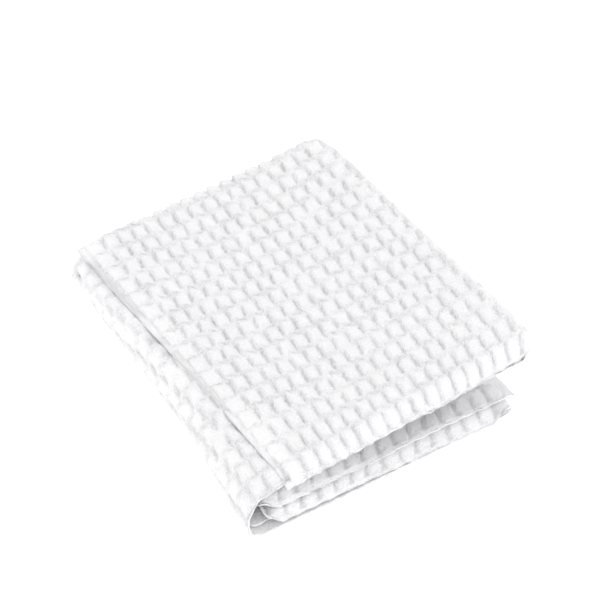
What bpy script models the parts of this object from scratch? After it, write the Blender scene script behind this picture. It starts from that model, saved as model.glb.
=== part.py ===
"""A white hand towel, folded into a stack.

The cloth is one sheet. It is doubled across its width, so that the fold is at the back
(+Y) and its two long edges are at the front (-Y). The doubled cloth is then folded to and
fro along its length: the flap on top, the strip below it, the base on the ground, and the
inner and tail layers between them. Sizes are in millimetres up to the last step.
"""

from collections import namedtuple
import math

import bmesh
import bpy
from mathutils import Vector

MM = 0.001

# The cloth and the stack
CLOTH_THICK = 1.8
FRONT_LINE = -125.0
BACK_LINE = 122.0
BACK_SLANT = -0.075  # how far the back fold moves in Y for each millimetre of X
STACK_SHIFT = Vector((2.2, -0.5, 0.0))  # centres the stack

# Both sides are drawn in between the front and the back, and the tail's end sags
RIGHT_BOW = 2.0
LEFT_BOW = 5.5
BOW_FROM_X = -75.0
BOW_TO_X = -95.0
TAIL_SAG = 2.0
SAG_LENGTH = 14.0

# The front edges curl over the plies below them
CURL_LENGTH = 15.0
CURL_ANGLE = math.radians(95)
LEAST_CURL = math.radians(0.6)  # a straight edge counts as a very slight curl

# The top layers' corners are rounded in plan, most of all at the front right
CORNER_REACH = 14.0
FRONT_TUCK = 7.0
BACK_TUCK = 5.0
TUCK_FROM_Z = 20.0
TUCK_TO_Z = 30.0

# The top is a little uneven; its waves fade out down to a height where the base is flat
WAVE_HEIGHT = 0.9
WAVE_FROM_Z = 10.0
WAVE_LONG = 92.0
WAVE_WIDE = 118.0

# How many quads go along each straight run, round each bend and down each ply
RUN_STEPS = 9
TAIL_SHARES = (0.92, 0.945, 0.973)  # more quads where the tail sags
PLY_STEPS = 9
CURL_STEPS = 4
BACK_STEPS = 2

# Each layer of the doubled cloth, in its order along the cloth: X of its two ends at the
# front and at the back of the stack, and the height and ply spacing at its two ends.
Run = namedtuple("Run", "name x0_front x0_back x1_front x1_back z0 z1 gap0 gap1")
RUNS = (
    Run("flap", -82.0, -74.0, 92.5, 97.0, 26.3, 49.4, 2.3, 4.2),
    Run("strip", 92.5, 97.0, -98.0, -65.0, 33.0, 20.5, 4.2, 2.9),
    Run("base", -104.0, -71.0, 74.5, 84.5, 2.35, 2.35, 2.9, 2.9),
    Run("inner", 74.5, 84.5, -96.0, -60.0, 8.6, 8.2, 2.9, 2.9),
    Run("tail", -96.0, -60.0, 83.0, 93.0, 15.2, 14.0, 2.9, 2.9),
)

# Each bend, in the same order: how far it reaches past the ends of its runs.
Bend = namedtuple("Bend", "name reach steps")
BENDS = (
    Bend("right bend of the flap", 8.5, 8),
    Bend("left bend of the strip", 7.0, 8),
    Bend("right bend of the base", 4.0, 6),
    Bend("left bend of the inner layer", 3.5, 6),
)

# The front edges of ply A, which is the upper one in the flap, base and tail, and of ply B:
# how far each lies behind the front line at the two ends of the run, and its share of a full
# curl there. The curls change over the first part of a run, called fade, and grow from
# nothing over the part called rise at its two ends. A run's middle bows forward. The last
# column moves the back fold.
Edge = namedtuple("Edge", "a0 a1 a_curl0 a_curl1 b0 b1 b_curl0 b_curl1 fade rise bow back")
EDGES = (
    Edge(0.0, 0.0, 0.45, 0.8, 16.0, 16.0, 0.0, 0.0, 1.0, 0.0, 0.0, 0.0),
    Edge(3.0, 11.0, 0.7, 0.0, 16.0, 4.0, 0.0, 0.1, 0.35, 0.0, 0.0, 1.0),
    Edge(2.0, 12.0, 0.0, 0.0, -4.0, 1.5, 0.0, 0.0, 1.0, 0.0, 1.5, 1.5),
    Edge(12.0, 16.0, 0.0, 0.0, -2.5, -2.5, 0.65, 0.62, 1.0, 0.05, 0.0, -4.0),
    Edge(2.0, 2.0, 0.6, 0.05, 16.0, 3.0, 0.0, 0.0, 0.55, 0.05, 2.0, -6.0),
)


def mix(a, b, share):
    return a + (b - a) * share


def run_ends(run, depth):
    """The two ends of a run, at a share of the depth from front (0) to back (1)."""
    start = Vector((mix(run.x0_front, run.x0_back, depth), 0.0, run.z0))
    end = Vector((mix(run.x1_front, run.x1_back, depth), 0.0, run.z1))
    return start, end


def drawn_in(point, y, depth):
    """Draws a point inwards: both sides half way back, and the top's right side at its corners."""
    front = FRONT_TUCK * math.exp(-(y - FRONT_LINE) / CORNER_REACH)
    back = BACK_TUCK * math.exp(-(back_fold(point.x) - y) / CORNER_REACH)
    bow = math.sin(math.pi * depth)
    right = min(1.0, max(0.0, point.x / RUNS[0].x1_front))
    top = min(1.0, max(0.0, (point.z - TUCK_FROM_Z) / (TUCK_TO_Z - TUCK_FROM_Z)))
    left = min(1.0, max(0.0, (point.x - BOW_FROM_X) / (BOW_TO_X - BOW_FROM_X)))
    inward = LEFT_BOW * bow * left - (RIGHT_BOW * bow + (front + back) * top) * right
    return Vector((point.x + inward, 0.0, point.z))


def back_fold(x):
    return BACK_LINE + BACK_SLANT * x


def sagging(place, heading, end_x):
    """The tail's free end sags in a curve on to the bend below it."""
    past = max(0.0, 1 - (end_x - place.x) / SAG_LENGTH)
    drop = Vector((0.0, 0.0, TAIL_SAG * past**2))
    slope = Vector((0.0, 0.0, 2 * TAIL_SAG * past / SAG_LENGTH))
    return place - drop, (heading - slope).normalized()


def middle(piece, share, depth):
    """The doubled cloth's middle line: its place and its direction in XZ.

    Even pieces are runs and odd ones are bends; share goes from 0 to 1 along the piece.
    """
    start, end = run_ends(RUNS[piece // 2], depth)
    if RUNS[piece // 2].name == "tail":
        return sagging(start.lerp(end, share), (end - start).normalized(), end.x)
    if piece % 2 == 0:
        return start.lerp(end, share), (end - start).normalized()
    after, after_end = run_ends(RUNS[piece // 2 + 1], depth)
    handle = BENDS[piece // 2].reach * 4 / 3
    points = (
        end,
        end + (end - start).normalized() * handle,
        after - (after_end - after).normalized() * handle,
        after,
    )
    rest = 1 - share
    place = (
        points[0] * rest**3
        + points[1] * 3 * rest**2 * share
        + points[2] * 3 * rest * share**2
        + points[3] * share**3
    )
    heading = (
        (points[1] - points[0]) * rest**2
        + (points[2] - points[1]) * 2 * rest * share
        + (points[3] - points[2]) * share**2
    )
    return place, heading.normalized()


def spacing(piece, share):
    """The distance between the two plies."""
    run = RUNS[piece // 2]
    if piece % 2 == 0:
        return mix(run.gap0, run.gap1, share)
    return mix(run.gap1, RUNS[piece // 2 + 1].gap0, share)


def curl_share(edge, curls, share):
    """How far a ply curls at a share of its run, from the shares at the run's two ends."""
    grown = min(1.0, share / edge.rise, (1 - share) / edge.rise) if edge.rise else 1.0
    return mix(*curls, min(1.0, share / edge.fade)) * grown


def edge_values(edge, ply):
    if ply == "A":
        return (edge.a0, edge.a1), (edge.a_curl0, edge.a_curl1)
    return (edge.b0, edge.b1), (edge.b_curl0, edge.b_curl1)


def edge_of(piece, share, ply):
    """(how far a ply's front edge lies behind the front line, its share of a curl)."""
    edge = EDGES[piece // 2]
    recess, curls = edge_values(edge, ply)
    if piece % 2 == 0:
        bow = edge.bow * 4 * share * (1 - share)
        return mix(*recess, share) - bow, curl_share(edge, curls, share)
    after = EDGES[piece // 2 + 1]
    next_recess, next_curls = edge_values(after, ply)
    curl_before, curl_after = curl_share(edge, curls, 1.0), curl_share(after, next_curls, 0.0)
    return mix(recess[1], next_recess[0], share), mix(curl_before, curl_after, share)


def back_of(piece, share, x):
    """Y of the outside of the back fold."""
    back = EDGES[piece // 2].back
    if piece % 2 == 1:
        back = mix(back, EDGES[piece // 2 + 1].back, share)
    return back_fold(x) + back


def ply_place(piece, share, ply, part, along):
    """(Y, distance from the doubled cloth's middle) of a point of one ply.

    part is back, flat or curl, and along goes from 0 to 1 towards the front edge.
    """
    half = spacing(piece, share) / 2
    recess, curl = edge_of(piece, share, ply)
    at_back = back_of(piece, share, middle(piece, share, 1.0)[0].x)
    angle = curl * CURL_ANGLE or LEAST_CURL
    radius = CURL_LENGTH / angle
    curl_start = FRONT_LINE + recess + radius * math.sin(angle)
    if part == "back":
        turn = along * math.pi / 2
        y, away = at_back - half * (1 - math.cos(turn)), half * math.sin(turn)
    elif part == "flat":
        y, away = mix(at_back - half, curl_start, along), half
    else:
        turn = along * angle
        y = curl_start - radius * math.sin(turn)
        away = half - radius * (1 - math.cos(turn))
    return y, away if ply == "A" else -away


def lifted(point):
    """Adds the top's slow waves."""
    wave = math.sin(point.x / WAVE_LONG * math.pi) * math.cos(point.y / WAVE_WIDE * math.pi)
    height = max(0.0, point.z - WAVE_FROM_Z) / RUNS[0].z1
    return point + Vector((0.0, 0.0, WAVE_HEIGHT * wave * height))


def cloth_point(piece, share, ply, part, along):
    """Where a point of the flat cloth lies in the folded stack."""
    y, away = ply_place(piece, share, ply, part, along)
    depth = min(1.0, max(0.0, (y - FRONT_LINE) / (BACK_LINE - FRONT_LINE)))
    place, heading = middle(piece, share, depth)
    normal = Vector((-heading.z, 0.0, heading.x))
    point = drawn_in(place, y, depth) + normal * away
    point.y = y
    return lifted(point) + STACK_SHIFT


def stations_along():
    """The grid's lines across the cloth: (piece, share) in their order along it."""
    stations = []
    for piece in range(2 * len(RUNS) - 1):
        steps = RUN_STEPS if piece % 2 == 0 else BENDS[piece // 2].steps
        first = 0 if piece == 0 else 1
        stations += [(piece, step / steps) for step in range(first, steps + 1)]
    return sorted([*stations, *((piece, share) for share in TAIL_SHARES)])


def stations_across():
    """The grid's lines along the cloth: (ply, part, along), from edge A over the back to B."""
    parts = (("back", BACK_STEPS), ("flat", PLY_STEPS), ("curl", CURL_STEPS))
    one_ply = [
        (part, step / steps) for part, steps in parts for step in range(1, steps + 1)
    ]
    ply_a = [("A", part, along) for part, along in reversed(one_ply)]
    ply_b = [("B", part, along) for part, along in one_ply]
    return [*ply_a, ("A", "back", 0.0), *ply_b]


def folded_sheet():
    """A grid with a vertex for each pair of stations, laid in the towel's folds."""
    lengthwise, widthwise = stations_along(), stations_across()
    bm = bmesh.new()
    bmesh.ops.create_grid(
        bm, x_segments=len(lengthwise) - 1, y_segments=len(widthwise) - 1, size=0.5
    )
    for vertex in bm.verts:
        column = round((vertex.co.x + 0.5) * (len(lengthwise) - 1))
        row = round((vertex.co.y + 0.5) * (len(widthwise) - 1))
        vertex.co = cloth_point(*lengthwise[column], *widthwise[row]) * MM
    mesh = bpy.data.meshes.new("hand_towel")
    bm.to_mesh(mesh)
    bm.free()
    return mesh


def cotton():
    material = bpy.data.materials.new("white_cotton")
    material.use_nodes = True
    shader = material.node_tree.nodes["Principled BSDF"]
    shader.inputs["Base Color"].default_value = (0.9, 0.9, 0.89, 1.0)
    shader.inputs["Roughness"].default_value = 0.9
    shader.inputs["Metallic"].default_value = 0.0
    return material


def hand_towel(collection):
    mesh = folded_sheet()
    mesh.materials.append(cotton())
    mesh.shade_smooth()
    towel = bpy.data.objects.new("hand_towel", mesh)
    collection.objects.link(towel)
    thick = towel.modifiers.new("cloth thickness", "SOLIDIFY")
    thick.thickness = CLOTH_THICK * MM
    thick.offset = 0.0
    thick.use_even_offset = True
    return towel


def main():
    for old in list(bpy.data.objects):
        bpy.data.objects.remove(old, do_unlink=True)
    collection = bpy.data.collections.new("folded_hand_towel")
    bpy.context.scene.collection.children.link(collection)
    hand_towel(collection)


main()
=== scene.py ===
"""The visual model of a white hand towel in a pebble weave, folded into a stack.

The towel is one sheet of cloth, counted in pebbles: columns along its length and rows across
its width. It is doubled across its width, so that the fold is at the back (+Y) and its two
long edges are at the front (-Y), and then folded to and fro along its length. Sizes are in
millimetres up to the last step.
"""

from collections import namedtuple
import math

import bmesh
import bpy
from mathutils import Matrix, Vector, noise

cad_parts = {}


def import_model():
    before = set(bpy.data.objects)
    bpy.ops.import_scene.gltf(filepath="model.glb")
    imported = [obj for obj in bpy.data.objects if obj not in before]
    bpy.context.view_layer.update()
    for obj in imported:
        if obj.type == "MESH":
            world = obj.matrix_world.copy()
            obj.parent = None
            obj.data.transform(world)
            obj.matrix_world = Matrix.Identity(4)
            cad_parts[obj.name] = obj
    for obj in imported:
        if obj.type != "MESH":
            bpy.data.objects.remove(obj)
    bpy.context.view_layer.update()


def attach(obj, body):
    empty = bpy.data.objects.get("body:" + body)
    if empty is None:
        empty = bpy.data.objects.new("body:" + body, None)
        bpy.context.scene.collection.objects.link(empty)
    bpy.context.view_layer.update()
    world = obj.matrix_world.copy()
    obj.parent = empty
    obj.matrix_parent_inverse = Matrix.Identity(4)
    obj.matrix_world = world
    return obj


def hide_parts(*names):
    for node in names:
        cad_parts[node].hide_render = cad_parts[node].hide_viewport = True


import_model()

MM = 0.001

# ---------------------------------------------------------------- the folded stack

FRONT_LINE = -125.0
BACK_LINE = 122.0
BACK_SLANT = -0.075  # how far the back fold moves in Y for each millimetre of X
STACK_SHIFT = Vector((2.2, -0.5, 0.0))  # centres the stack

# Both sides are drawn in between the front and the back, and the tail's end sags
RIGHT_BOW = 2.0
LEFT_BOW = 5.5
BOW_FROM_X = -75.0
BOW_TO_X = -95.0
TAIL_SAG = 2.0
SAG_LENGTH = 14.0

# The front edges curl over the plies below them
CURL_LENGTH = 15.0
CURL_ANGLE = math.radians(95)
LEAST_CURL = math.radians(0.6)  # a straight edge counts as a very slight curl

# The top layers' corners are rounded in plan, most of all at the front right
CORNER_REACH = 14.0
FRONT_TUCK = 7.0
BACK_TUCK = 5.0
TUCK_FROM_Z = 20.0
TUCK_TO_Z = 30.0

# The top is a little uneven; its waves fade out down to a height where the base is flat
WAVE_HEIGHT = 0.9
WAVE_FROM_Z = 10.0
WAVE_LONG = 92.0
WAVE_WIDE = 118.0

# Each layer of the doubled cloth, in its order along the cloth: X of its two ends at the
# front and at the back of the stack, and the height and ply spacing at its two ends.
Run = namedtuple("Run", "name x0_front x0_back x1_front x1_back z0 z1 gap0 gap1")
RUNS = (
    Run("flap", -82.0, -74.0, 92.5, 97.0, 26.3, 49.4, 2.3, 4.2),
    Run("strip", 92.5, 97.0, -98.0, -65.0, 33.0, 20.5, 4.2, 2.9),
    Run("base", -104.0, -71.0, 74.5, 84.5, 2.35, 2.35, 2.9, 2.9),
    Run("inner", 74.5, 84.5, -96.0, -60.0, 8.6, 8.2, 2.9, 2.9),
    Run("tail", -96.0, -60.0, 83.0, 93.0, 15.2, 14.0, 2.9, 2.9),
)

# Each bend, in the same order: how far it reaches past the ends of its runs.
Bend = namedtuple("Bend", "name reach")
BENDS = (
    Bend("right bend of the flap", 8.5),
    Bend("left bend of the strip", 7.0),
    Bend("right bend of the base", 4.0),
    Bend("left bend of the inner layer", 3.5),
)

# The front edges of ply A, which is the upper one in the flap, base and tail, and of ply B:
# how far each lies behind the front line at the two ends of the run, and its share of a full
# curl there. The curls change over the first part of a run, called fade, and grow from
# nothing over the part called rise at its two ends. A run's middle bows forward. The last
# column moves the back fold.
Edge = namedtuple("Edge", "a0 a1 a_curl0 a_curl1 b0 b1 b_curl0 b_curl1 fade rise bow back")
EDGES = (
    Edge(0.0, 0.0, 0.45, 0.8, 16.0, 16.0, 0.0, 0.0, 1.0, 0.0, 0.0, 0.0),
    Edge(3.0, 11.0, 0.7, 0.0, 16.0, 4.0, 0.0, 0.1, 0.35, 0.0, 0.0, 1.0),
    Edge(2.0, 12.0, 0.0, 0.0, -4.0, 1.5, 0.0, 0.0, 1.0, 0.0, 1.5, 1.5),
    Edge(12.0, 16.0, 0.0, 0.0, -2.5, -2.5, 0.65, 0.62, 1.0, 0.05, 0.0, -4.0),
    Edge(2.0, 2.0, 0.6, 0.05, 16.0, 3.0, 0.0, 0.0, 0.55, 0.05, 2.0, -6.0),
)
PIECES = 2 * len(RUNS) - 1

# ---------------------------------------------------------------- the weave

COLUMNS = 88  # pebbles along the cloth, between its two end hems
ROWS = 34  # and across it, between its two long hems
COLUMN_PITCH = 10.05  # of the pieces that are seen from above
TRUE_PIECES = 4  # the flap, the strip and their bends; the others share out what is left
ROW_PITCH = 14.3
HEM_COLUMNS = 0.4
HEM_ROWS = 0.12

# The rows of the flap sag towards the front in its middle, and its columns spread to the
# right. Both fade out past the flap, and the sag also fades near the cloth's long edges.
FLAP_COLUMNS = 17.0
FLAP_FADE = 1.6  # where they end, in flaps
ROW_SAG = 2.4
SAG_MIDDLE = 0.55  # as a share of the flap
SAG_ROWS = 4.0
COLUMN_SPREAD = 1.4
SPREAD_OFFSET = 0.1

# The mesh closes up along the weave's lines, by this share of its steps
PINCH = 0.55

# The lines swing to and fro from pebble to pebble, and wander over several of them. Both
# fade out towards the cloth's edges.
LINE_SWING = 0.05
ROW_SWING = 0.06
SWING_SHARP = 0.2
COLUMN_WANDER = 0.1
ROW_WANDER = 0.06
WANDER_FADE = 1.5

# Slow changes of the weave: how many pebbles one spans, and its place in the noise.
Slow = namedtuple("Slow", "length seed")
ROW_FALL_CHANGE = Slow(1.2, 3.0)
PEBBLE_CHANGE = Slow(1.2, 5.0)
RIDGE_CHANGE = Slow(1.5, 9.0)
COLUMN_CHANGE = Slow(3.4, 13.0)
ROW_CHANGE = Slow(3.4, 17.0)
CRIMP_CHANGE = Slow(0.8, 21.0)

# What is drawn anew for each dash and slit; each draw has its own number.
(
    DRAW_LENGTH,
    DRAW_WIDTH,
    DRAW_DEPTH,
    DRAW_CROOK,
    DRAW_BACK_END,
    DRAW_FRONT_END,
    DRAW_BACK_HOOK,
    DRAW_FRONT_HOOK,
    DRAW_SLIT_PLACE,
    DRAW_SLIT_DEPTH,
) = range(10)
UNEVEN = 0.3

# A dash is the dark slot between two pebbles of a row, a little crooked, and deeper and wider
# at its ends. No two are the same. Sizes in millimetres.
DASH_HALF = 4.1
DASH_SOFT = 1.1
DASH_WIDTH = 1.05
DASH_DEPTH = 1.25
LENGTH_UNEVEN = 0.25
CROOK = 0.4
CROOK_TURN = 0.8  # radians to a millimetre
CROOK_START = 3
END_PLACE = 0.8  # of the half length
END_DEPTH = 0.8
END_LEAST = 0.4
END_WIDTH = 1.3
FRONT_DASH = 1.35  # how much longer and deeper the dashes of the first rows are
FRONT_ROWS = 2.2
FRONT_FULL = 0.6  # the share of those rows before they begin to shorten

# A hook is the short groove that turns off a dash's end: on the flap, right at the back end
# and left at the front end. Many dashes have only one, or none.
HOOK_LENGTH = 4.4
HOOK_WIDTH = 0.75
HOOK_DEPTH = 1.9
HOOK_SLOPE = 0.25
HOOK_INSET = 0.5
BACK_HOOK = 0.45
BACK_HOOK_UNEVEN = 0.8
FRONT_HOOK_UNEVEN = 0.7

# Behind the long edges, a slit crosses each line of the columns, and the edge is drawn in
SLIT_BACK = 1.7
SLIT_HALF = 2.2
SLIT_WIDTH = 0.55
SLIT_DEPTH = 1.5
SLIT_SLOPE = 0.22
EDGE_DIP = 0.045
EDGE_DIP_SHARP = 3.5
EDGE_DIP_ROWS = 0.5

# Painted shade in the dashes: how deep in a dash it starts, and where it is darkest
PAINTED_SHADE_FROM = 0.3
PAINTED_SHADE_TO = 2.6
RIM_PAINTED_SHADE = 0.8  # painted shade on the rims of the long edges, as a share of that

# How far a pebble's shoulders fall towards the lines beside it, and at the cloth's ends
SHOULDER = 1.3
FAINT_SHOULDER = 0.4
ROW_SHOULDER = 0.25
END_SHOULDER = 1.5
END_FALL_FROM = 0.4
END_FALL_TO = 1.3

# The crinkles on the pebbles and on the hems; they are strongest where the cloth crimps
CRINKLE = 0.35
CRINKLE_LENGTH = 2.4
CRINKLE_SEED = 0.7
CRINKLE_MIDDLE = 0.4
FINE_CRINKLE = 0.5
FINE_TIMES = 2.1
CRINKLE_LEAST = 0.6
CRINKLE_MOST = 1.8
CRIMP_HALF = 2.4
CRIMP_MEAN = 0.75
CRIMP_UNEVEN = 0.9
CRIMP_FROM = 0.2  # columns from the cloth's ends
CRIMP_TO = 0.7
HEM_RIDGE = 0.2
RIDGE_TURN = 20
RIDGE_WANDER = 2

# How far the surfaces lie from the middle of the cloth's thickness
PEBBLE_OUT = 1.7
PEBBLE_UNEVEN = 0.12
PEBBLE_IN = 1.1
LEAST_OUT = -0.35
INSIDE_SHARE = 0.12  # the inside's relief, as a share of the outside's
PLAIN_OUT = 0.9
HEM_OUT = 0.5
HEM_STEP_ROWS = 0.06  # half the step between the weave and a hem
HEM_STEP_COLUMNS = 0.1

# Creases, as soft ridges above the cloth's own folds and troughs below them: the middle of
# each in columns and rows, its turn from the columns' direction in degrees, and its half
# length, half width and height in millimetres. They fade out towards the back fold.
CREASE_REACH = 3  # half sizes, past which nothing of a crease is left
CREASE_FADE_FROM = 0.3  # rows from the back fold
CREASE_FADE_TO = 1.3
Crease = namedtuple("Crease", "name column row turn length width height")
CREASES = (
    Crease("flap's end pressed flat, upper ply", -0.4, 8.5, 90, 400.0, 9.0, -1.3),
    Crease("flap's end pressed flat, lower ply", -0.4, 25.5, 90, 400.0, 9.0, 0.5),
    Crease("flap's end pressed on to the strip", -0.4, 7.0, 90, 130.0, 10.0, -1.5),
    Crease("flap's end lifts, far back", -0.4, 10.6, 90, 12.0, 8.0, 1.8),
    Crease("flap's end lifts, half way", -0.4, 9.0, 90, 5.0, 6.0, 1.3),
    Crease("flap's end lifts, near the front", -0.4, 3.8, 90, 8.0, 7.0, 1.7),
    Crease("flap's end lifts, nearer the front", -0.4, 2.7, 80, 6.0, 6.0, 1.4),
    Crease("flap's end lifts, at the front", -0.4, 1.7, 100, 6.0, 6.0, 1.2),
    Crease("flap's nose hangs", -0.6, 0.3, 40, 12.0, 8.0, -1.2),
    Crease("flap's front edge swells, left", 4.0, 0.2, 0, 14.0, 7.0, 0.8),
    Crease("flap's front edge dips", 8.6, 0.2, 0, 12.0, 7.0, -0.9),
    Crease("flap's front edge swells, right", 13.0, 0.2, 0, 14.0, 7.0, 0.8),
    Crease("soft trough across the flap's middle", 8.0, 6.0, 65, 60.0, 14.0, -0.9),
    Crease("soft ridge beside it", 10.5, 8.5, 60, 50.0, 13.0, 0.8),
    Crease("soft trough at the flap's right", 14.5, 11.0, 75, 45.0, 12.0, -0.8),
    Crease("soft ridge at the flap's back", 5.5, 13.5, 20, 40.0, 13.0, 0.7),
    Crease("strip swells beside the flap's end", 37.0, 25.5, 90, 160.0, 6.5, 3.2),
    Crease("slit beside the flap's end, far back", 36.7, 23.6, 90, 8.0, 4.0, -2.6),
    Crease("slit beside the flap's end, half way", 36.8, 24.9, 90, 4.0, 3.5, -2.2),
    Crease("slit beside the flap's end, near the front", 37.0, 30.1, 90, 6.0, 4.0, -2.4),
    Crease("slit beside the flap's end, nearer the front", 37.1, 31.2, 90, 4.0, 3.5, -2.0),
    Crease("slit beside the flap's end, at the front", 37.1, 32.2, 90, 4.0, 3.5, -2.0),
    Crease("crumpled ridge at the back left", 38.6, 18.3, 60, 9.0, 3.0, 1.7),
    Crease("crumpled trough beside it", 37.6, 19.3, 100, 8.0, 2.6, -2.0),
    Crease("second crumpled ridge", 39.6, 19.2, 75, 7.0, 2.6, 1.4),
    Crease("second crumpled trough", 40.3, 17.9, 70, 8.0, 3.0, -1.6),
    Crease("dent in the left bend", 38.2, 23.6, 95, 10.0, 3.0, -1.0),
    Crease("tail's lip swells, left", 76.0, 0.2, 0, 13.0, 7.0, 1.0),
    Crease("tail's lip dips", 80.0, 0.2, 0, 9.0, 7.0, -1.1),
    Crease("tail's lip swells, right", 84.0, 0.2, 0, 10.0, 7.0, 1.1),
    Crease("tail's lip dips at its end", 87.0, 0.2, 0, 8.0, 6.0, -0.7),
    Crease("inner lip swells, right", 61.0, 33.8, 0, 12.0, 7.0, 0.8),
    Crease("inner lip dips", 66.0, 33.8, 0, 10.0, 7.0, -0.8),
    Crease("inner lip swells, left", 71.0, 33.8, 0, 12.0, 7.0, 0.8),
)

# The parts of the cloth that are seen, which get a fine mesh, and the weave at a share of its
# full relief. A face belongs to the first part that holds it.
Seen = namedtuple("Seen", "name side column0 column1 row0 row1 row_cuts relief")
LAST = COLUMNS + 2
SEEN = (
    Seen("flap and its bend, outside", 1, -2, 19, 0, 18, 7, 1.0),
    Seen("left of the strip and its bend, outside", 1, 34, 41, 16, 34, 7, 0.7),
    Seen("front of the tail, outside", 1, 73, LAST, 0, 3, 7, 0.8),
    Seen("right end of the tail, outside", 1, 86, LAST, 3, 17, 3, 0.8),
    Seen("right bend of the base, outside", 1, 55, 59, 16, 33, 3, 0.8),
    Seen("front edge of the strip, outside", 1, 19, 36, 33, 34, 3, 0.8),
    Seen("front edge of the inner layer, outside", 1, 57, LAST, 33, 34, 7, 0.8),
    Seen("back fold, outside", 1, -2, LAST, 16, 18, 3, 1.0),
)
SEEN_FADE = 0.5  # pebbles over which a part's relief fades out
COLUMN_CUTS = 4
RIM_CUTS = 2

# The flat cloth before its cuts: grid steps to a pebble. An edge counts as along an axis from
# a share of its length, and as still whole from a length in pebbles.
COLUMN_STEPS = 2
ROW_STEPS = 1
ALONG_AXIS = 0.9
WHOLE_EDGE = 0.3

LENGTH_STEPS = 12  # straight steps that a piece's length is measured in
INSIDE_UV = 0.5  # how far the inside's texture lies from the outside's, in metres


def mix(a, b, share):
    return a + (b - a) * share


def smooth(value, start, end):
    """Goes smoothly from 0 at start to 1 at end."""
    share = min(1.0, max(0.0, (value - start) / (end - start)))
    return share * share * (3 - 2 * share)


def run_ends(run, depth):
    """The two ends of a run, at a share of the depth from front (0) to back (1)."""
    start = Vector((mix(run.x0_front, run.x0_back, depth), 0.0, run.z0))
    end = Vector((mix(run.x1_front, run.x1_back, depth), 0.0, run.z1))
    return start, end


def back_fold(x):
    return BACK_LINE + BACK_SLANT * x


def drawn_in(point, y, depth):
    """Draws a point in: both sides half way back, and the top's right side at its corners."""
    front = FRONT_TUCK * math.exp(-(y - FRONT_LINE) / CORNER_REACH)
    back = BACK_TUCK * math.exp(-(back_fold(point.x) - y) / CORNER_REACH)
    bow = math.sin(math.pi * depth)
    right = min(1.0, max(0.0, point.x / RUNS[0].x1_front))
    top = min(1.0, max(0.0, (point.z - TUCK_FROM_Z) / (TUCK_TO_Z - TUCK_FROM_Z)))
    left = min(1.0, max(0.0, (point.x - BOW_FROM_X) / (BOW_TO_X - BOW_FROM_X)))
    inward = LEFT_BOW * bow * left - (RIGHT_BOW * bow + (front + back) * top) * right
    return Vector((point.x + inward, 0.0, point.z))


def sagging(place, heading, end_x):
    """The tail's free end sags in a curve on to the bend below it."""
    past = max(0.0, 1 - (end_x - place.x) / SAG_LENGTH)
    drop = Vector((0.0, 0.0, TAIL_SAG * past**2))
    slope = Vector((0.0, 0.0, 2 * TAIL_SAG * past / SAG_LENGTH))
    return place - drop, (heading - slope).normalized()


def middle(piece, share, depth):
    """The doubled cloth's middle line: its place and its direction in XZ.

    Even pieces are runs and odd ones are bends; share goes from 0 to 1 along the piece.
    """
    start, end = run_ends(RUNS[piece // 2], depth)
    if RUNS[piece // 2].name == "tail":
        return sagging(start.lerp(end, share), (end - start).normalized(), end.x)
    if piece % 2 == 0:
        return start.lerp(end, share), (end - start).normalized()
    after, after_end = run_ends(RUNS[piece // 2 + 1], depth)
    handle = BENDS[piece // 2].reach * 4 / 3  # a curve reaches out by 3/4 of its handles
    points = (
        end,
        end + (end - start).normalized() * handle,
        after - (after_end - after).normalized() * handle,
        after,
    )
    rest = 1 - share
    place = (
        points[0] * rest**3
        + points[1] * 3 * rest**2 * share
        + points[2] * 3 * rest * share**2
        + points[3] * share**3
    )
    heading = (
        (points[1] - points[0]) * rest**2
        + (points[2] - points[1]) * 2 * rest * share
        + (points[3] - points[2]) * share**2
    )
    return place, heading.normalized()


def spacing(piece, share):
    """The distance between the two plies."""
    run = RUNS[piece // 2]
    if piece % 2 == 0:
        return mix(run.gap0, run.gap1, share)
    return mix(run.gap1, RUNS[piece // 2 + 1].gap0, share)


def curl_share(edge, curls, share):
    """How far a ply curls at a share of its run, from the shares at the run's two ends."""
    grown = min(1.0, share / edge.rise, (1 - share) / edge.rise) if edge.rise else 1.0
    return mix(*curls, min(1.0, share / edge.fade)) * grown


def edge_values(edge, ply):
    if ply == "A":
        return (edge.a0, edge.a1), (edge.a_curl0, edge.a_curl1)
    return (edge.b0, edge.b1), (edge.b_curl0, edge.b_curl1)


def edge_of(piece, share, ply):
    """(how far a ply's front edge lies behind the front line, its share of a curl)."""
    edge = EDGES[piece // 2]
    recess, curls = edge_values(edge, ply)
    if piece % 2 == 0:
        bow = edge.bow * 4 * share * (1 - share)
        return mix(*recess, share) - bow, curl_share(edge, curls, share)
    after = EDGES[piece // 2 + 1]
    next_recess, next_curls = edge_values(after, ply)
    curl_before, curl_after = curl_share(edge, curls, 1.0), curl_share(after, next_curls, 0.0)
    return mix(recess[1], next_recess[0], share), mix(curl_before, curl_after, share)


def back_of(piece, share):
    """Y of the outside of the back fold."""
    back = EDGES[piece // 2].back
    if piece % 2 == 1:
        back = mix(back, EDGES[piece // 2 + 1].back, share)
    return back_fold(middle(piece, share, 1.0)[0].x) + back


def curl_of(piece, share, ply):
    """(Y where a ply's curl starts, its angle, its radius)."""
    recess, curl = edge_of(piece, share, ply)
    angle = curl * CURL_ANGLE or LEAST_CURL
    radius = CURL_LENGTH / angle
    return FRONT_LINE + recess + radius * math.sin(angle), angle, radius


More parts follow.
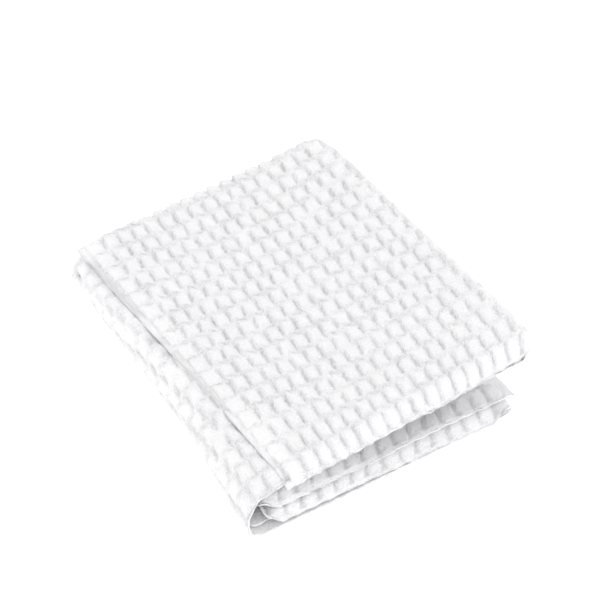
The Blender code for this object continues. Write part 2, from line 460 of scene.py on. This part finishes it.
def ply_place(piece, share, ply, part, along, out):
    """(Y, distance from the doubled cloth's middle) of a point of one ply.

    part is back, flat or curl, along goes from 0 to 1 towards the front edge, and out is how
    far the point lies outside the middle of the ply's thickness.
    """
    half = spacing(piece, share) / 2
    at_back = back_of(piece, share)
    curl_start, angle, radius = curl_of(piece, share, ply)
    if part == "back":
        turn = along * math.pi / 2
        y, away = at_back - half + (half + out) * math.cos(turn), (half + out) * math.sin(turn)
    elif part == "flat":
        y, away = mix(at_back - half, curl_start, along), half + out
    else:
        turn = along * angle
        y = curl_start - (radius + out) * math.sin(turn)
        away = half - radius + (radius + out) * math.cos(turn)
    return y, away if ply == "A" else -away


def lifted(point):
    """Adds the top's slow waves."""
    wave = math.sin(point.x / WAVE_LONG * math.pi) * math.cos(point.y / WAVE_WIDE * math.pi)
    height = max(0.0, point.z - WAVE_FROM_Z) / RUNS[0].z1
    return point + Vector((0.0, 0.0, WAVE_HEIGHT * wave * height))


def stack_point(piece, share, ply, part, along, out):
    """Where a point of the cloth lies in the folded stack."""
    y, away = ply_place(piece, share, ply, part, along, out)
    depth = min(1.0, max(0.0, (y - FRONT_LINE) / (BACK_LINE - FRONT_LINE)))
    place, heading = middle(piece, share, depth)
    normal = Vector((-heading.z, 0.0, heading.x))
    point = drawn_in(place, y, depth) + normal * away
    point.y = y
    point = lifted(point) + STACK_SHIFT
    point.z = max(0.0, point.z)
    return point


# ---------------------------------------------------------------- from flat to folded


def piece_length(piece, depth):
    shares = [step / LENGTH_STEPS for step in range(LENGTH_STEPS + 1)]
    points = [middle(piece, share, depth)[0] for share in shares]
    return sum((after - before).length for before, after in zip(points, points[1:]))


PIECE_LENGTHS = [(piece_length(piece, 0.0), piece_length(piece, 1.0)) for piece in range(PIECES)]


def along_cloth(column, depth):
    """(piece, share) of a place along the cloth, at a share of the depth."""
    lengths = [mix(front, back, depth) for front, back in PIECE_LENGTHS]
    true_columns = sum(lengths[:TRUE_PIECES]) / COLUMN_PITCH
    all_columns = COLUMNS + 2 * HEM_COLUMNS
    other_pitch = sum(lengths[TRUE_PIECES:]) / (all_columns - true_columns)
    left = column + HEM_COLUMNS
    for piece, length in enumerate(lengths):
        span = length / (COLUMN_PITCH if piece < TRUE_PIECES else other_pitch)
        if left <= span:
            return piece, max(0.0, left / span)
        left -= span
    return PIECES - 1, 1.0


def across_cloth(piece, share, row):
    """(ply, part, along) of a place across the cloth, from ply A's front edge to ply B's."""
    half = spacing(piece, share) / 2
    at_back = back_of(piece, share)
    flat_a, flat_b = (at_back - half - curl_of(piece, share, ply)[0] for ply in "AB")
    back = half * math.pi / 2
    parts = (
        ("A", "curl", CURL_LENGTH),
        ("A", "flat", flat_a),
        ("A", "back", back),
        ("B", "back", back),
        ("B", "flat", flat_b),
        ("B", "curl", CURL_LENGTH),
    )
    from_edge = (row + HEM_ROWS) / (ROWS + 2 * HEM_ROWS)
    left = max(0.0, from_edge) * sum(length for _, _, length in parts)
    for ply, part, length in parts:
        if left <= length:
            break
        left -= length
    along = min(1.0, left / length)
    return ply, part, (1 - along if ply == "A" else along)


# ---------------------------------------------------------------- the pebbles


def swing(value):
    """A wave that rises slowly through each half number and falls back at each whole one."""
    turn = 2 * math.pi * value
    return -math.sin(turn) - SWING_SHARP * math.sin(2 * turn)


def pinched(value, count):
    """Draws places on the cloth towards the nearest whole number, but not those in a hem."""
    if not 0 < value < count:
        return value
    return value - PINCH * math.sin(2 * math.pi * value) / (2 * math.pi)


def slow(column, row, change):
    """A value from -1 to 1 that changes slowly over the cloth."""
    return noise.noise(Vector((column / change.length, row / change.length, change.seed)))


def bell(value):
    return math.exp(-value * value)


def draw(column, row, number):
    """A value from -1 to 1 that belongs to one dash; number tells its draws apart."""
    return noise.cell(Vector((column + 0.5, row + 0.5, number + 0.5)))


def shoulder(from_line):
    """How far a pebble has fallen: 1 on a line, and 0 half way between two."""
    return (1 - 2 * from_line) ** 3


def hook(turn_off, past_end, depth):
    """A groove that leaves a dash's end sideways; both distances are in millimetres."""
    if turn_off < 0 or depth < 0:
        return 0.0
    fade = max(0.0, 1 - turn_off / HOOK_LENGTH)
    return HOOK_DEPTH * depth * fade * bell((past_end - HOOK_SLOPE * turn_off) / HOOK_WIDTH)


def dashed(column, row):
    """(how deep the dash and its hooks are, the dash's share of its full strength)."""
    line, cell = round(column), math.floor(row)
    aside = (column - line) * COLUMN_PITCH
    behind = (row - cell - 0.5) * ROW_PITCH
    from_edge = smooth(min(row, ROWS - row), FRONT_FULL * FRONT_ROWS, FRONT_ROWS)
    front = mix(FRONT_DASH, 1.0, from_edge)
    half = DASH_HALF * front * (1 + LENGTH_UNEVEN * draw(line, cell, DRAW_LENGTH))
    wide = DASH_WIDTH * (1 + UNEVEN * draw(line, cell, DRAW_WIDTH))
    strength = front * (1 + UNEVEN * draw(line, cell, DRAW_DEPTH))
    bend = behind * CROOK_TURN + CROOK_START * draw(line, cell, DRAW_CROOK)
    crooked = aside + CROOK * math.sin(bend)
    share = 1 - smooth(abs(behind), half - DASH_SOFT, half + DASH_SOFT)
    depth = DASH_DEPTH * strength * share * bell(crooked / wide)
    for end, number in ((half, DRAW_BACK_END), (-half, DRAW_FRONT_END)):
        blob = bell((behind - END_PLACE * end) / END_WIDTH) * bell(crooked / END_WIDTH)
        depth += END_DEPTH * max(0.0, END_LEAST + draw(line, cell, number)) * blob
    back_hook = BACK_HOOK + BACK_HOOK_UNEVEN * draw(line, cell, DRAW_BACK_HOOK)
    front_hook = FRONT_HOOK_UNEVEN * draw(line, cell, DRAW_FRONT_HOOK)
    depth += hook(aside, behind - half + HOOK_INSET, back_hook)
    depth += hook(-aside, half - HOOK_INSET - behind, front_hook)
    return depth, share


def slit(column, row):
    """How deep the slit behind a long edge is, in millimetres."""
    line = round(column)
    aside = (column - line) * COLUMN_PITCH
    from_edge = min(row, ROWS - row) * ROW_PITCH
    middle_line = SLIT_BACK * (1 + UNEVEN * draw(line, 0, DRAW_SLIT_PLACE))
    middle_line += SLIT_SLOPE * aside
    depth = SLIT_DEPTH * (1 + UNEVEN * draw(line, 0, DRAW_SLIT_DEPTH))
    return depth * bell(aside / SLIT_HALF) * bell((from_edge - middle_line) / SLIT_WIDTH)


def creased(column, row):
    """How far the creases lift a place, in millimetres."""
    height = 0.0
    for crease in CREASES:
        along = (column - crease.column) * COLUMN_PITCH
        aside = (row - crease.row) * ROW_PITCH
        turn = math.radians(crease.turn)
        run = (along * math.cos(turn) + aside * math.sin(turn)) / crease.length
        off = (aside * math.cos(turn) - along * math.sin(turn)) / crease.width
        if abs(run) < CREASE_REACH and abs(off) < CREASE_REACH:
            height += crease.height * bell(run) * bell(off)
    return height * smooth(abs(row - ROWS / 2), CREASE_FADE_FROM, CREASE_FADE_TO)


def sunk(column, row):
    """How far a place lies below the tops of the pebbles, in millimetres."""
    depth, dash = dashed(column, row)
    depth += slit(column, row)
    fall = mix(FAINT_SHOULDER, SHOULDER, dash) * shoulder(abs(column - round(column)))
    uneven = 1 + slow(column, row, ROW_FALL_CHANGE)
    at_end = 1 - smooth(min(column, COLUMNS - column), END_FALL_FROM, END_FALL_TO)
    row_fall = mix(ROW_SHOULDER * uneven, END_SHOULDER, at_end)
    return depth + fall + row_fall * shoulder(abs(row - round(row)))


def crimped(column, row):
    """How strongly the cloth crimps: most around the pebbles, and not at the cloth's ends."""
    between = bell((row - round(row)) * ROW_PITCH / CRIMP_HALF)
    between = max(between, bell((column - round(column)) * COLUMN_PITCH / CRIMP_HALF))
    uneven = CRIMP_MEAN + CRIMP_UNEVEN * slow(column, row, CRIMP_CHANGE)
    inside = smooth(min(column, COLUMNS - column), CRIMP_FROM, CRIMP_TO)
    return min(1.0, max(0.0, between * uneven) * inside)


def crinkle(column, row):
    """Small puckers, sharper in their troughs than on their tops."""
    place = Vector((column * COLUMN_PITCH, row * ROW_PITCH, CRINKLE_SEED)) / CRINKLE_LENGTH
    pucker = 2 * abs(noise.noise(place)) - CRINKLE_MIDDLE
    pucker += FINE_CRINKLE * noise.noise(place * FINE_TIMES)
    return CRINKLE * pucker * mix(CRINKLE_LEAST, CRINKLE_MOST, crimped(column, row))


def shown(column, row, side):
    """The weave's share of its full relief, which is 0 inside the stack."""
    most = 0.0
    for part in SEEN:
        if part.side * side > 0:
            gaps = [1.0]
            if part.column0 > 0:
                gaps.append(column - part.column0)
            if part.column1 < COLUMNS:
                gaps.append(part.column1 - column)
            if part.row0 > 0:
                gaps.append(row - part.row0)
            if part.row1 < ROWS:
                gaps.append(part.row1 - row)
            most = max(most, part.relief * smooth(min(gaps), 0.0, SEEN_FADE))
    return most


def off_hem(place, count, step):
    """0 in the hems at both ends of a direction, and 1 between them."""
    return min(smooth(place, -step, step), smooth(count - place, -step, step))


def outward(column, row, side):
    """How far a place of the surface lies outside the middle of the cloth's thickness."""
    in_rows = off_hem(row, ROWS, HEM_STEP_ROWS)
    in_cloth = min(in_rows, off_hem(column, COLUMNS, HEM_STEP_COLUMNS))
    seen = shown(column, row, side)
    relief = sunk(column, row)
    if side > 0:
        turn = column * RIDGE_TURN + RIDGE_WANDER * slow(column, row, RIDGE_CHANGE)
        hem = HEM_OUT + crinkle(column, row) + HEM_RIDGE * math.sin(turn)
        top = PEBBLE_OUT * (1 + PEBBLE_UNEVEN * slow(column, row, PEBBLE_CHANGE))
        woven = max(LEAST_OUT, top - relief + crinkle(column, row))
        return mix(hem, mix(PLAIN_OUT, woven, seen), in_cloth)
    woven = PEBBLE_IN - INSIDE_SHARE * relief
    return -mix(HEM_OUT, mix(PLAIN_OUT, woven, seen), in_cloth)


def drifted(column, row):
    """Moves a place with the lines of the weave, which lie a little out of true."""
    across = column / FLAP_COLUMNS
    edge = min(row, ROWS - row)
    on_flap = 1 - smooth(column, FLAP_COLUMNS, FLAP_FADE * FLAP_COLUMNS)
    off_end = smooth(min(column, COLUMNS - column), 0.0, WANDER_FADE)
    off_edge = smooth(edge, 0.0, WANDER_FADE)
    sag = ROW_SAG * (across - SAG_MIDDLE) ** 2 * on_flap * smooth(edge, 0.0, SAG_ROWS)
    spread = COLUMN_SPREAD * ((across - SAG_MIDDLE) ** 2 - SPREAD_OFFSET) * on_flap
    column_place = column + off_end * (spread + LINE_SWING * swing(row))
    column_place += off_end * COLUMN_WANDER * slow(column, row, COLUMN_CHANGE)
    row_place = row + sag + off_edge * ROW_SWING * swing(column + 0.5)
    row_place += off_edge * ROW_WANDER * slow(column, row, ROW_CHANGE)
    dip = EDGE_DIP * bell((column - round(column)) * EDGE_DIP_SHARP)
    dip *= 1 - smooth(edge, 0.0, EDGE_DIP_ROWS)
    row_place += dip if row < ROWS / 2 else -dip
    return column_place, row_place


def cloth_point(column, row, side):
    """Where a place on the flat cloth lies: side is 1 on its outside and -1 on its inside."""
    column, row = pinched(column, COLUMNS), pinched(row, ROWS)
    out = mix(outward(column, row, -1), outward(column, row, 1), (side + 1) / 2)
    out += creased(column, row)
    column, row = drifted(column, row)
    depth = min(row, ROWS - row) / (ROWS / 2)
    piece, share = along_cloth(column, min(1.0, max(0.0, depth)))
    return stack_point(piece, share, *across_cloth(piece, share, row), out)


def painted_shade_share(column, row, side):
    """How much painted shade a place gets, from 0 to 1: by the depth of a dash, or on the rim of
    a long edge.
    """
    if abs(side) < 1:
        # painted shade on the rims of the long edges
        return RIM_PAINTED_SHADE if 0 < column < COLUMNS else 0.0
    if side < 0 or not (0 < column < COLUMNS and 0 < row < ROWS):
        return 0.0
    column, row = pinched(column, COLUMNS), pinched(row, ROWS)
    depth = dashed(column, row)[0] + slit(column, row)
    return smooth(depth, PAINTED_SHADE_FROM, PAINTED_SHADE_TO) * shown(column, row, 1)


# ---------------------------------------------------------------- the mesh


def on_rim(face):
    """Whether a face of the flat cloth joins its inside to its outside, at its edges."""
    return abs(face.calc_center_median().z) < 0.5


def cuts_along_rows(face):
    """How often a face of the flat cloth is cut between two rows, or None in the stack."""
    if on_rim(face):
        return max(part.row_cuts for part in SEEN)
    place = face.calc_center_median()
    for part in SEEN:
        in_columns = part.column0 < place.x < part.column1
        in_rows = part.row0 < place.y < part.row1
        if in_columns and in_rows and part.side * place.z > 0.5:
            return part.row_cuts
    return None


def cut(bm, faces, axis, cuts):
    """Cuts those edges of some faces that run along an axis and are still whole."""
    chosen = set()
    for face in faces:
        for edge in face.edges:
            run = edge.verts[1].co - edge.verts[0].co
            if abs(run[axis]) > ALONG_AXIS * run.length and run.length > WHOLE_EDGE:
                chosen.add(edge)
    bmesh.ops.subdivide_edges(bm, edges=list(chosen), cuts=cuts, use_grid_fill=True)


def cut_seen(bm):
    """Gives the parts that are seen, and the cloth's edges, their fine mesh."""
    cut(bm, [face for face in bm.faces if cuts_along_rows(face)], 0, COLUMN_CUTS)
    for cuts in sorted({part.row_cuts for part in SEEN}, reverse=True):
        faces = [
            face
            for face in bm.faces
            if cuts_along_rows(face) == cuts and 0 < face.calc_center_median().y < ROWS
        ]
        cut(bm, faces, 1, cuts)
    cut(bm, [face for face in bm.faces if on_rim(face)], 2, RIM_CUTS)


def grid_lines(count, hem, steps):
    """The grid's lines along or across the cloth: steps to a pebble, and two to each hem."""
    inner = [line / steps for line in range(count * steps + 1)]
    return [-hem, -hem / 2, *inner, count + hem / 2, count + hem]


def flat_cloth():
    """The cloth laid flat: X in columns, Y in rows, and Z from -1 on its inside to 1."""
    columns = grid_lines(COLUMNS, HEM_COLUMNS, COLUMN_STEPS)
    rows = grid_lines(ROWS, HEM_ROWS, ROW_STEPS)
    across, up = len(columns) - 1, len(rows) - 1
    bm = bmesh.new()
    bmesh.ops.create_grid(bm, x_segments=across, y_segments=up, size=0.5)
    for vertex in bm.verts:
        column = columns[round((vertex.co.x + 0.5) * across)]
        row = rows[round((vertex.co.y + 0.5) * up)]
        vertex.co = (column, row, -1.0)
    raised = bmesh.ops.extrude_face_region(bm, geom=bm.faces[:], use_keep_orig=True)
    for item in raised["geom"]:
        if isinstance(item, bmesh.types.BMVert):
            item.co.z = 1.0
    bmesh.ops.recalc_face_normals(bm, faces=bm.faces[:])
    cut_seen(bm)
    return bm


def towel_mesh():
    """The folded cloth. Its texture lies as on the flat cloth, in metres."""
    bm = flat_cloth()
    layer = bm.loops.layers.uv.new("flat_cloth")
    for face in bm.faces:
        inside = INSIDE_UV if face.calc_center_median().z < 0 else 0.0
        for loop in face.loops:
            column, row = pinched(loop.vert.co.x, COLUMNS), pinched(loop.vert.co.y, ROWS)
            loop[layer].uv = (column * COLUMN_PITCH * MM, row * ROW_PITCH * MM + inside)
    # Two vertex values: painted shade for the dashes and the rims, and how strongly the cloth
    # crimps
    painted_shade, crimp = (bm.verts.layers.float.new(name) for name in ("painted_shade", "crimp"))
    for vertex in bm.verts:
        vertex[painted_shade] = painted_shade_share(*vertex.co)
        vertex[crimp] = crimped(pinched(vertex.co.x, COLUMNS), pinched(vertex.co.y, ROWS))
        vertex.co = cloth_point(*vertex.co) * MM
    for face in bm.faces:
        face.smooth = True
    mesh = bpy.data.meshes.new("hand_towel_cloth")
    bm.to_mesh(mesh)
    bm.free()
    return mesh


# ---------------------------------------------------------------- materials

THREAD = 0.00062  # from one thread to the next, in metres
THREAD_BUMP = 0.00012
PUCKER = 0.0011  # the size of the finest puckers
PUCKER_BUMP = 0.0015
CRIMP_LEAST = 0.4  # the puckers' share on top of a pebble
WAVE_BANDS = math.pi / 10  # turns a band's width into the wave texture's scale

# Where a pucker's noise starts to darken the cloth, and darkens it most: a tone uneven at
# random, laid darkest in the puckers' troughs as painted shade
UNEVEN_SHADE_FROM = 0.54
UNEVEN_SHADE_TO = 0.36

# The tones of the pebbles and of the puckers, partly painted shade in their troughs, and of the
# painted shade in the depth of the dashes and on the rims
WHITE = (0.94, 0.937, 0.95, 1.0)
# the puckers' tone: uneven at random, and partly painted shade in their troughs
UNEVEN_TONE_AND_SHADE = (0.74, 0.737, 0.755, 1.0)
# the painted shade in the dashes and on the rims
PAINTED_SHADE_TONE = (0.8, 0.795, 0.81, 1.0)

LEAST_ROUGH = 0.82
MOST_ROUGH = 0.96
COTTON = (
    ("Sheen Weight", 0.3),
    ("Sheen Roughness", 0.5),
    ("Subsurface Weight", 0.3),
    ("Subsurface Radius", (1.0, 1.0, 1.0)),
    ("Subsurface Scale", 0.002),
    ("Specular IOR Level", 0.25),
)
FLOOR = (
    ("Base Color", (0.98, 0.98, 0.98, 1.0)),
    ("Roughness", 0.9),
    ("Specular IOR Level", 0.0),
    ("Emission Color", (1.0, 1.0, 1.0, 1.0)),
    ("Emission Strength", 0.35),
)

# A colour mix has its share and its two colours on these sockets, and its result on the last
MIX_SHARE, MIX_FIRST, MIX_SECOND = 0, 6, 7
MIX_RESULT = 2


def add_node(tree, kind, inputs=(), **settings):
    """Adds a node, sets its properties, and sets or links its inputs."""
    node = tree.nodes.new(kind)
    for name, value in settings.items():
        setattr(node, name, value)
    for name, value in inputs:
        if isinstance(value, bpy.types.NodeSocket):
            tree.links.new(value, node.inputs[name])
        else:
            node.inputs[name].default_value = value
    return node


def product(tree, first, second):
    inputs = ((0, first), (1, second))
    return add_node(tree, "ShaderNodeMath", inputs, operation="MULTIPLY").outputs[0]


def blend(tree, share, first, second):
    """Goes from the first colour to the second."""
    inputs = ((MIX_SHARE, share), (MIX_FIRST, first), (MIX_SECOND, second))
    return add_node(tree, "ShaderNodeMix", inputs, data_type="RGBA").outputs[MIX_RESULT]


def stretched(tree, value, *ranges):
    """Maps a value from one range, 0 to 1 if it isn't given, to another."""
    inputs = (("Value", value), *ranges)
    return add_node(tree, "ShaderNodeMapRange", inputs).outputs["Result"]


def vertex_value(tree, name):
    return add_node(tree, "ShaderNodeAttribute", attribute_name=name).outputs["Fac"]


def threads(tree, place, direction):
    """Even bands, one to a thread, along one direction of the cloth."""
    inputs = (
        ("Vector", place),
        ("Scale", WAVE_BANDS / THREAD),
        ("Distortion", 0.6),
        ("Detail", 1.0),
    )
    return add_node(tree, "ShaderNodeTexWave", inputs, bands_direction=direction).outputs["Fac"]


def pucker_noise(tree, place):
    inputs = (
        ("Vector", place),
        ("Scale", 1 / PUCKER),
        ("Detail", 3.0),
        ("Roughness", 0.6),
        ("Distortion", 0.5),
    )
    return add_node(tree, "ShaderNodeTexNoise", inputs).outputs["Fac"]


def bump(tree, height, distance, *normal):
    inputs = (("Height", height), ("Distance", distance), ("Strength", 1.0), *normal)
    return add_node(tree, "ShaderNodeBump", inputs).outputs["Normal"]


def new_material(name, values):
    """(a material, its shader) with constants on the shader's sockets."""
    material = bpy.data.materials.new(name)
    material.use_nodes = True
    shader = material.node_tree.nodes["Principled BSDF"]
    for socket, value in values:
        shader.inputs[socket].default_value = value
    return material, shader


def cotton():
    """White cotton: fine threads and puckers, uneven in tone with painted shade in the puckers'
    troughs, and painted shade in its dashes and on its rims.
    """
    material, shader = new_material("white_cotton_weave", COTTON)
    tree = material.node_tree
    place = add_node(tree, "ShaderNodeUVMap", uv_map="flat_cloth").outputs["UV"]
    puckers = pucker_noise(tree, place)
    crimp = vertex_value(tree, "crimp")
    crimping = stretched(tree, crimp, ("To Min", CRIMP_LEAST), ("To Max", 1.0))
    weave = product(tree, threads(tree, place, "X"), threads(tree, place, "Y"))
    thread_bump = bump(tree, weave, THREAD_BUMP)
    crimped_puckers = product(tree, puckers, crimping)
    normal = bump(tree, crimped_puckers, PUCKER_BUMP, ("Normal", thread_bump))
    # The puckers' tone: uneven at random, and darkest in their troughs as painted shade
    unevenness_and_shade = stretched(tree, puckers, ("From Min", UNEVEN_SHADE_FROM), ("From Max", UNEVEN_SHADE_TO))
    tone = blend(tree, product(tree, unevenness_and_shade, crimping), WHITE, UNEVEN_TONE_AND_SHADE)
    # Painted shade mixed into the colour in the dashes and on the rims
    colour = blend(tree, vertex_value(tree, "painted_shade"), tone, PAINTED_SHADE_TONE)
    roughness = stretched(tree, weave, ("To Min", LEAST_ROUGH), ("To Max", MOST_ROUGH))
    tree.links.new(colour, shader.inputs["Base Color"])
    tree.links.new(roughness, shader.inputs["Roughness"])
    tree.links.new(normal, shader.inputs["Normal"])
    return material


def towel():
    piece = bpy.data.objects.new("hand_towel_cloth", towel_mesh())
    bpy.context.scene.collection.objects.link(piece)
    piece.data.materials.append(cotton())
    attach(piece, "root")
    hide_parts("hand_towel")


# ---------------------------------------------------------------- the setting

AZIMUTH = math.radians(-33.613)
ELEVATION = math.radians(40.779)
LOOK_AT = Vector((2.2, -0.5, 18.4)) * MM
CAMERA_DISTANCE = 1.912
LENS = 186.0
CAMERA_SHIFT = (0.0225, 0.0465)
SENSOR_WIDTH = 36.0
FLOOR_SIZE = 12.0

# Places and sizes in metres, and power in watts; both lights face the middle of the floor.
Light = namedtuple("Light", "name place size power")
LIGHTS = (
    Light("key", (-0.5, 0.9, 1.9), 1.2, 6.0),
    Light("fill", (0.3, -1.8, 0.8), 1.8, 9.0),
)


def camera():
    data = bpy.data.cameras.new("camera")
    data.sensor_width = SENSOR_WIDTH
    data.lens = LENS
    data.shift_x, data.shift_y = CAMERA_SHIFT
    holder = bpy.data.objects.new("camera", data)
    bpy.context.scene.collection.objects.link(holder)
    back = Vector(
        (
            math.sin(AZIMUTH) * math.cos(ELEVATION),
            -math.cos(AZIMUTH) * math.cos(ELEVATION),
            math.sin(ELEVATION),
        )
    )
    holder.location = LOOK_AT + back * CAMERA_DISTANCE
    holder.rotation_euler = (-back).to_track_quat("-Z", "Y").to_euler()
    bpy.context.scene.camera = holder


def floor():
    bpy.ops.mesh.primitive_plane_add(size=FLOOR_SIZE)
    ground = bpy.context.object
    ground.name = "floor"
    ground.data.materials.append(new_material("white_floor", FLOOR)[0])


def area_light(light):
    data = bpy.data.lights.new(light.name, "AREA")
    data.size = light.size
    data.energy = light.power
    lamp = bpy.data.objects.new(light.name, data)
    bpy.context.scene.collection.objects.link(lamp)
    lamp.location = light.place
    lamp.rotation_euler = (-Vector(light.place)).to_track_quat("-Z", "Y").to_euler()


def world():
    scene = bpy.context.scene
    scene.world = bpy.data.worlds.new("studio")
    scene.world.use_nodes = True
    background = scene.world.node_tree.nodes["Background"]
    background.inputs["Color"].default_value = (1.0, 1.0, 1.0, 1.0)
    background.inputs["Strength"].default_value = 1.0
    scene.view_settings.view_transform = "Standard"


world()
floor()
for light in LIGHTS:
    area_light(light)
camera()
towel()
